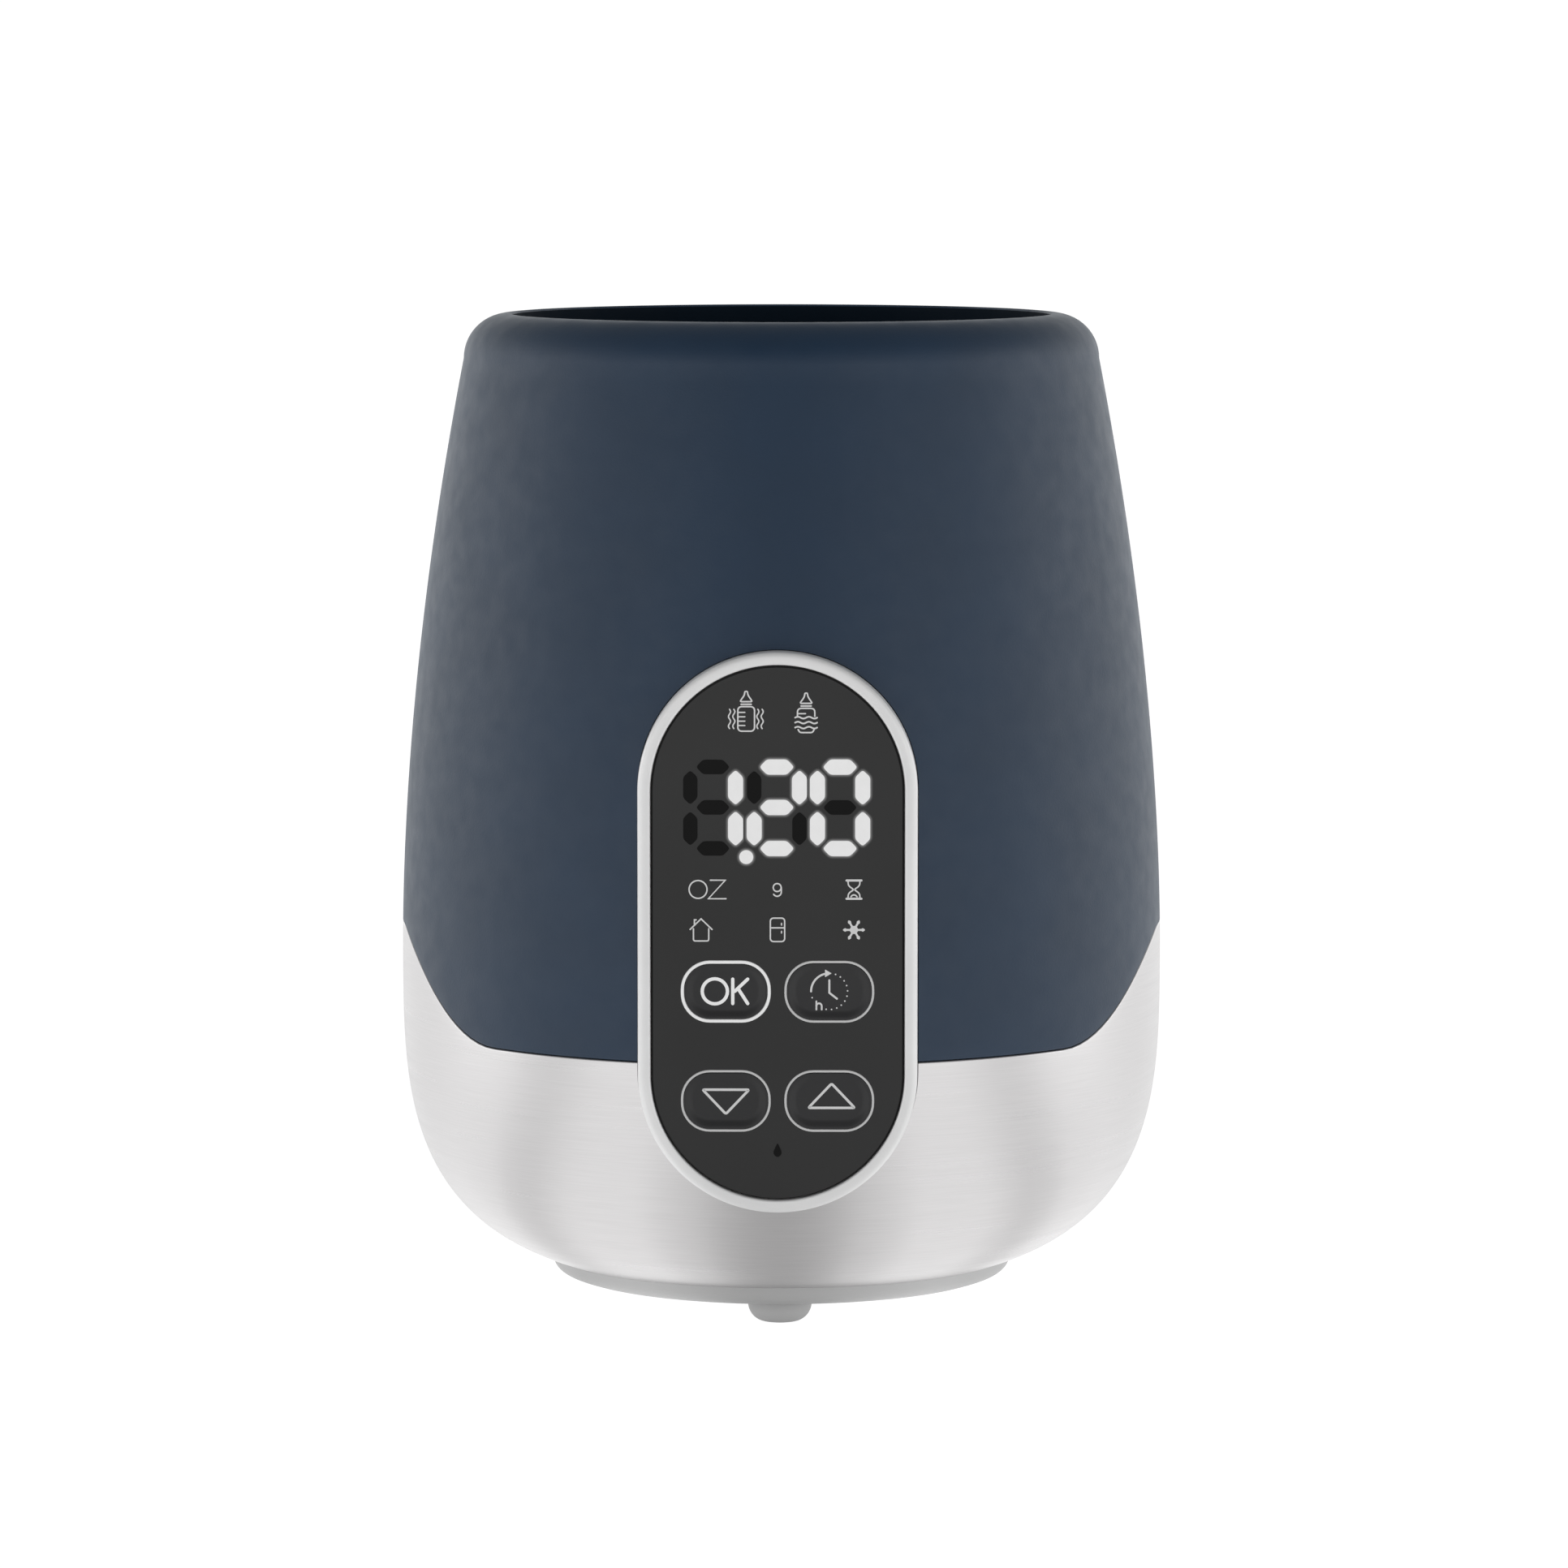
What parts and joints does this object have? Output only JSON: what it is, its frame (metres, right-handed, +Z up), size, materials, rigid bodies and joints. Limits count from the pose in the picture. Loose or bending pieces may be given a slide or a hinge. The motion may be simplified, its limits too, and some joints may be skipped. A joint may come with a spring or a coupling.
{
  "type": "bottle warmer",
  "caption": "Round tapered warmer for baby bottles: plastic body on a steel cup, upright stadium control panel with sprung keys, heated water chamber, lift-out basket.",
  "frame": {"origin": "on the table under the body's axis, at the underside of the feet", "axes": "+Z up along the body's axis, the control panel faces -Y, +X is to the right seen from the panel"},
  "size_m": [0.12, 0.12, 0.156],
  "materials": {
    "navy_shell": "soft matte navy",
    "steel_cup": "brushed round the axis",
    "silver_bezel": "satin silver",
    "fascia": "dark satin sheet",
    "key_cap": "dark, fine texture",
    "light_guide": "milky translucent",
    "chamber": "dark navy moulding",
    "grey_plastic": "moulded grey",
    "white_plastic": "moulded natural white",
    "black_plastic": "moulded black",
    "foot_rubber": "grey rubber",
    "seal_rubber": "pale silicone",
    "plate_steel": "pressed stainless sheet",
    "cast_aluminium": "as cast",
    "screw_steel": "zinc plated",
    "circuit_board": "green solder mask",
    "copper_winding": "varnished copper wire",
    "fuse_glass": "clear tube",
    "red_wire": "insulation",
    "blue_wire": "insulation"
  },
  "bodies": {
    "housing": {"base_cover": "grey_plastic", "base_screw_1": "screw_steel", "base_screw_2": "screw_steel", "base_screw_3": "screw_steel", "chassis": "white_plastic", "clamp_screw_1": "screw_steel", "clamp_screw_2": "screw_steel", "clamp_screw_3": "screw_steel", "control_board": "circuit_board", "control_board_screw_1": "screw_steel", "control_board_screw_2": "screw_steel", "control_board_screw_3": "screw_steel", "control_board_screw_4": "screw_steel", "cord_gland": "black_plastic", "display_module": "black_plastic", "filter_capacitor": "black_plastic", "foot_front": "foot_rubber", "foot_rear_left": "foot_rubber", "foot_rear_right": "foot_rubber", "gland_nut": "black_plastic", "glass_fuse": "fuse_glass", "heater_clamp": "cast_aluminium", "heater_lead_live": "red_wire", "heater_lead_neutral": "blue_wire", "heater_plate": "plate_steel", "heater_seal": "seal_rubber", "heating_element": "cast_aluminium", "light_guide": "light_guide", "mains_capacitor": "red_wire", "panel_bezel": "silver_bezel", "panel_fascia": "fascia", "power_board": "circuit_board", "power_board_screw_1": "screw_steel", "power_board_screw_2": "screw_steel", "power_transformer": "copper_winding", "relay": "black_plastic", "ribbon_cable": "white_plastic", "rim_seal": "seal_rubber", "sensor_lead": "black_plastic", "shell_screw_1": "screw_steel", "shell_screw_2": "screw_steel", "shell_screw_3": "screw_steel", "shell_screw_4": "screw_steel", "steel_cup": "steel_cup", "switch_down": "black_plastic", "switch_ok": "black_plastic", "switch_timer": "black_plastic", "switch_up": "black_plastic", "temperature_sensor": "plate_steel", "terminal_block": "white_plastic", "thermal_fuse": "white_plastic", "thermostat": "black_plastic", "upper_shell": "navy_shell", "water_chamber": "chamber"},
    "key_ok": {"key_ok": "key_cap"},
    "key_timer": {"key_timer": "key_cap"},
    "key_down": {"key_down": "key_cap"},
    "key_up": {"key_up": "key_cap"},
    "basket": {"bottle_basket": "white_plastic"}
  },
  "joints": [
    {"name": "key_ok_press", "type": "slide", "parent": "housing", "child": "key_ok", "axis": [0, 1, 0], "range_m": [0, 0.0007], "stiffness_N_per_m": 800},
    {"name": "key_timer_press", "type": "slide", "parent": "housing", "child": "key_timer", "axis": [0, 1, 0], "range_m": [0, 0.0007], "stiffness_N_per_m": 800},
    {"name": "key_down_press", "type": "slide", "parent": "housing", "child": "key_down", "axis": [0, 1, 0], "range_m": [0, 0.0007], "stiffness_N_per_m": 800},
    {"name": "key_up_press", "type": "slide", "parent": "housing", "child": "key_up", "axis": [0, 1, 0], "range_m": [0, 0.0007], "stiffness_N_per_m": 800},
    {"name": "basket_lift", "type": "slide", "parent": "housing", "child": "basket", "axis": [0, 0, 1], "range_m": [0, 0.112]}
  ]
}
